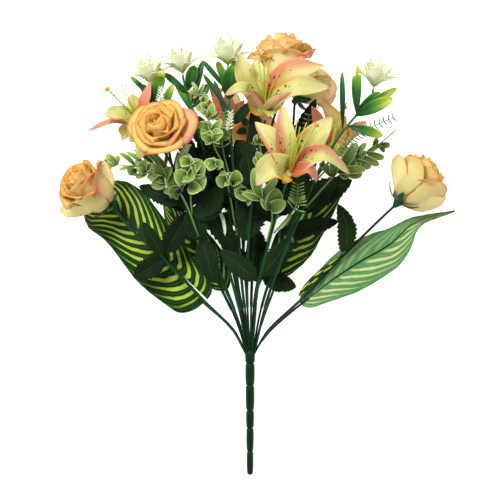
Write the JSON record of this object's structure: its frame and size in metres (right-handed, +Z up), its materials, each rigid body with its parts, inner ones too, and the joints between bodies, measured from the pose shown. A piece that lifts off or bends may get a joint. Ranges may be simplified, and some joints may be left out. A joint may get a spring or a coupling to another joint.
{
  "type": "artificial flower bouquet",
  "caption": "Artificial bouquet of roses, lilies, small white flowers and mixed foliage on slim stems that join in one knuckled handle.",
  "frame": {"origin": "centre of the bounding box in plan, on the surface that the bouquet lies on", "axes": "+Y from the handle towards the flowers, +Z up out of the surface, +X to the right as seen from above with the flowers away from the eye"},
  "size_m": [0.4568, 0.5088, 0.2234],
  "materials": {
    "handle": "satin, moulded",
    "rose_petal": "matte woven polyester, printed",
    "rose_leaf": "matte woven polyester leaves on satin plastic stem",
    "lily_petal": "matte woven polyester, printed",
    "lily_stamen": "satin, moulded",
    "lily_stem": "satin, moulded",
    "white_petal": "satin, moulded",
    "sprig": "satin, moulded",
    "eucalyptus": "satin, moulded",
    "fern": "satin, moulded",
    "striped_leaf": "matte woven polyester, printed"
  },
  "bodies": {
    "root": {"eucalyptus_1": "eucalyptus", "eucalyptus_2": "eucalyptus", "eucalyptus_3": "eucalyptus", "eucalyptus_4": "eucalyptus", "eucalyptus_5": "eucalyptus", "eucalyptus_6": "eucalyptus", "eucalyptus_7": "eucalyptus", "fern_1": "fern", "fern_2": "fern", "fern_3": "fern", "fern_4": "fern", "handle": "handle", "lily_1_petals": "lily_petal", "lily_1_stamens": "lily_stamen", "lily_1_stem": "lily_stem", "lily_2_petals": "lily_petal", "lily_2_stamens": "lily_stamen", "lily_2_stem": "lily_stem", "lily_3_petals": "lily_petal", "lily_3_stamens": "lily_stamen", "lily_3_stem": "lily_stem", "lily_4_petals": "lily_petal", "lily_4_stamens": "lily_stamen", "lily_4_stem": "lily_stem", "lily_5_petals": "lily_petal", "lily_5_stamens": "lily_stamen", "lily_5_stem": "lily_stem", "rose_a_bloom": "rose_petal", "rose_a_stem": "rose_leaf", "rose_b_bloom": "rose_petal", "rose_b_stem": "rose_leaf", "rose_c_bloom": "rose_petal", "rose_c_stem": "rose_leaf", "rose_d_bloom": "rose_petal", "rose_d_stem": "rose_leaf", "rose_e_bloom": "rose_petal", "rose_e_stem": "rose_leaf", "rose_f_bloom": "rose_petal", "rose_f_stem": "rose_leaf", "striped_leaf_1": "striped_leaf", "striped_leaf_2": "striped_leaf", "striped_leaf_3": "striped_leaf", "striped_leaf_4": "striped_leaf", "white_1_bloom": "white_petal", "white_1_sprig": "sprig", "white_2_bloom": "white_petal", "white_2_sprig": "sprig", "white_3_bloom": "white_petal", "white_3_sprig": "sprig", "white_4_bloom": "white_petal", "white_4_sprig": "sprig"}
  },
  "joints": []
}
